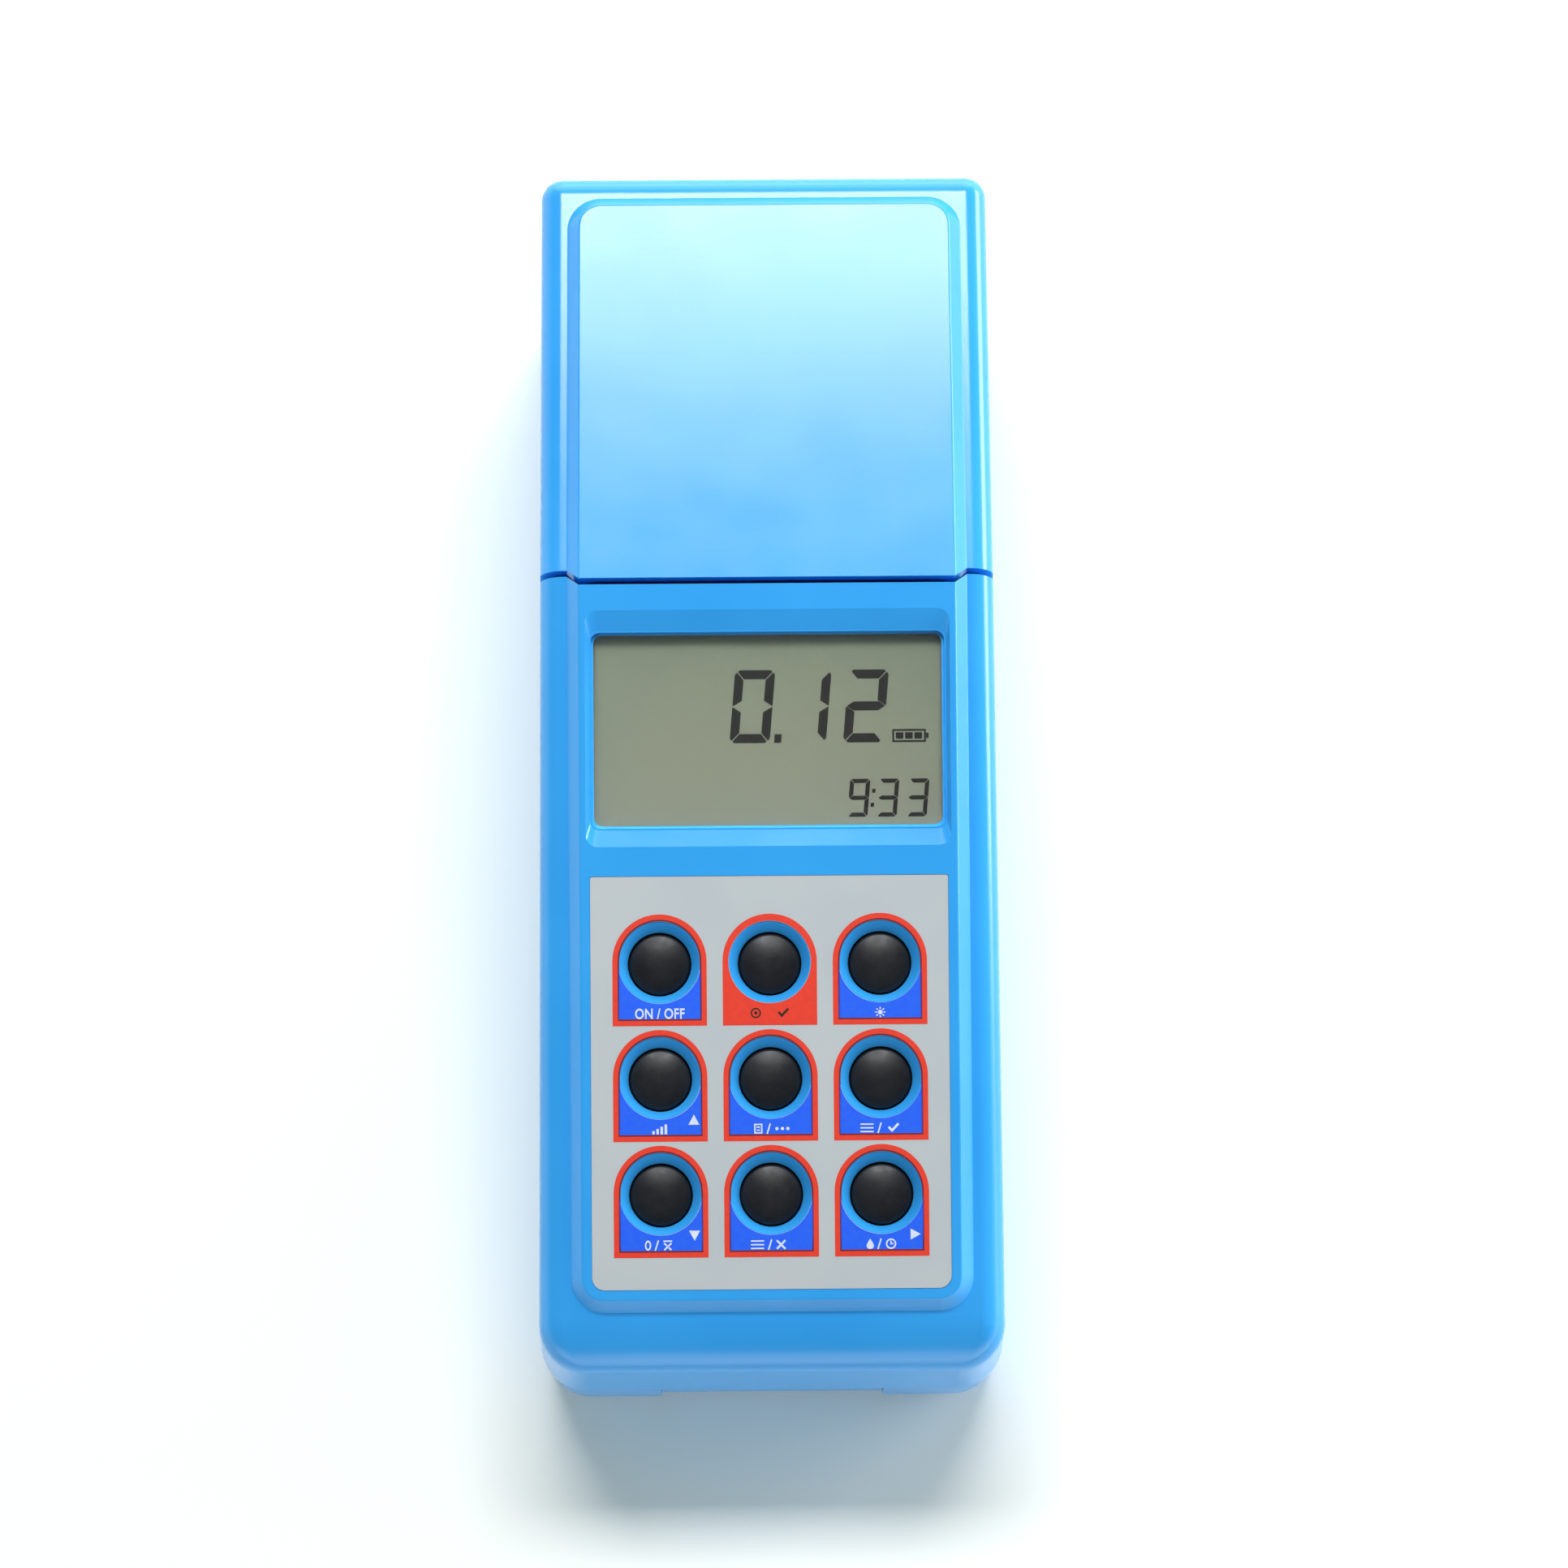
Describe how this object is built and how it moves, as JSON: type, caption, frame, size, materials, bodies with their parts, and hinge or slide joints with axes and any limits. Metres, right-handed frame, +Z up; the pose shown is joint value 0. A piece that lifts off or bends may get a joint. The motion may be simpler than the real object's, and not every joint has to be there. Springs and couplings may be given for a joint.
{
  "type": "turbidity meter",
  "caption": "Handheld turbidity meter: wedge-shaped blue case with sloping display and round rubber keys, hinged light shield over a cuvette well at the head.",
  "frame": {"origin": "on the table, under the middle of the case's box", "axes": "+Y towards the head with the lid, +Z up, +X to the right of the reader"},
  "size_m": [0.087, 0.224, 0.077],
  "materials": {
    "case_blue_abs": "fine moulded grain, satin",
    "black_abs": "moulded, matte",
    "black_rubber": "moulded silicone, satin",
    "feet_rubber": "moulded, matte",
    "grey_silicone": "moulded, matte",
    "clear_window": "polished clear sheet",
    "lcd_glass": "polarised glass",
    "label_film": "printed film, satin",
    "light_guide": "moulded, frosted",
    "board_green": "glass laminate with solder mask",
    "chip_black": "moulded epoxy",
    "steel": "zinc plated",
    "spring_steel": "nickel plated",
    "can_metal": "gold-washed can",
    "lamp_glass": "blown glass",
    "lens_glass": "polished glass",
    "led_green": "cast epoxy",
    "cell_jacket": "plain printed sleeve",
    "socket_shell": "nickel plated"
  },
  "bodies": {
    "case": {"top_case": "case_blue_abs", "bottom_case": "case_blue_abs", "deck_plate": "black_abs", "deck_screws": "steel", "hinge_pin": "steel", "display_window": "clear_window", "lcd_panel": "lcd_glass", "zebra_strips": "grey_silicone", "backlight_panel": "light_guide", "keypad_label": "label_film", "keypad_mat": "grey_silicone", "main_board": "board_green", "board_chips": "chip_black", "buzzer": "chip_black", "board_screws": "steel", "case_screws": "steel", "optical_block": "black_abs", "well_collar": "black_abs", "lamp_holder": "black_abs", "lamp": "lamp_glass", "lamp_lens": "lens_glass", "green_led": "led_green", "detector_90": "can_metal", "detector_180": "can_metal", "optics_boards": "board_green", "optics_screws": "steel", "battery_cells": "cell_jacket", "battery_springs": "spring_steel", "battery_plates": "spring_steel", "lamp_cover": "case_blue_abs", "lamp_cover_screws": "steel", "rubber_feet": "feet_rubber", "socket_board": "board_green", "socket_screws": "steel", "power_jack": "chip_black", "usb_socket": "socket_shell"},
    "lid": {"lid": "case_blue_abs"},
    "battery_cover": {"battery_cover": "case_blue_abs"},
    "key_1": {"key_1": "black_rubber"},
    "key_2": {"key_2": "black_rubber"},
    "key_3": {"key_3": "black_rubber"},
    "key_4": {"key_4": "black_rubber"},
    "key_5": {"key_5": "black_rubber"},
    "key_6": {"key_6": "black_rubber"},
    "key_7": {"key_7": "black_rubber"},
    "key_8": {"key_8": "black_rubber"},
    "key_9": {"key_9": "black_rubber"}
  },
  "joints": [
    {"name": "lid_hinge", "type": "hinge", "parent": "case", "child": "lid", "pos_m": [0, 0.1072, 0.0515], "axis": [-1, 0, 0], "range_deg": [0, 100]},
    {"name": "battery_cover_slide", "type": "slide", "parent": "case", "child": "battery_cover", "axis": [0, -1, 0], "range_m": [0, 0.1]},
    {"name": "key_1_press", "type": "slide", "parent": "case", "child": "key_1", "axis": [0, 0.1994, -0.9799], "range_m": [0, 0.001], "stiffness_N_per_m": 900},
    {"name": "key_2_press", "type": "slide", "parent": "case", "child": "key_2", "axis": [0, 0.1994, -0.9799], "range_m": [0, 0.001], "stiffness_N_per_m": 900},
    {"name": "key_3_press", "type": "slide", "parent": "case", "child": "key_3", "axis": [0, 0.1994, -0.9799], "range_m": [0, 0.001], "stiffness_N_per_m": 900},
    {"name": "key_4_press", "type": "slide", "parent": "case", "child": "key_4", "axis": [0, 0.1994, -0.9799], "range_m": [0, 0.001], "stiffness_N_per_m": 900},
    {"name": "key_5_press", "type": "slide", "parent": "case", "child": "key_5", "axis": [0, 0.1994, -0.9799], "range_m": [0, 0.001], "stiffness_N_per_m": 900},
    {"name": "key_6_press", "type": "slide", "parent": "case", "child": "key_6", "axis": [0, 0.1994, -0.9799], "range_m": [0, 0.001], "stiffness_N_per_m": 900},
    {"name": "key_7_press", "type": "slide", "parent": "case", "child": "key_7", "axis": [0, 0.1994, -0.9799], "range_m": [0, 0.001], "stiffness_N_per_m": 900},
    {"name": "key_8_press", "type": "slide", "parent": "case", "child": "key_8", "axis": [0, 0.1994, -0.9799], "range_m": [0, 0.001], "stiffness_N_per_m": 900},
    {"name": "key_9_press", "type": "slide", "parent": "case", "child": "key_9", "axis": [0, 0.1994, -0.9799], "range_m": [0, 0.001], "stiffness_N_per_m": 900}
  ]
}
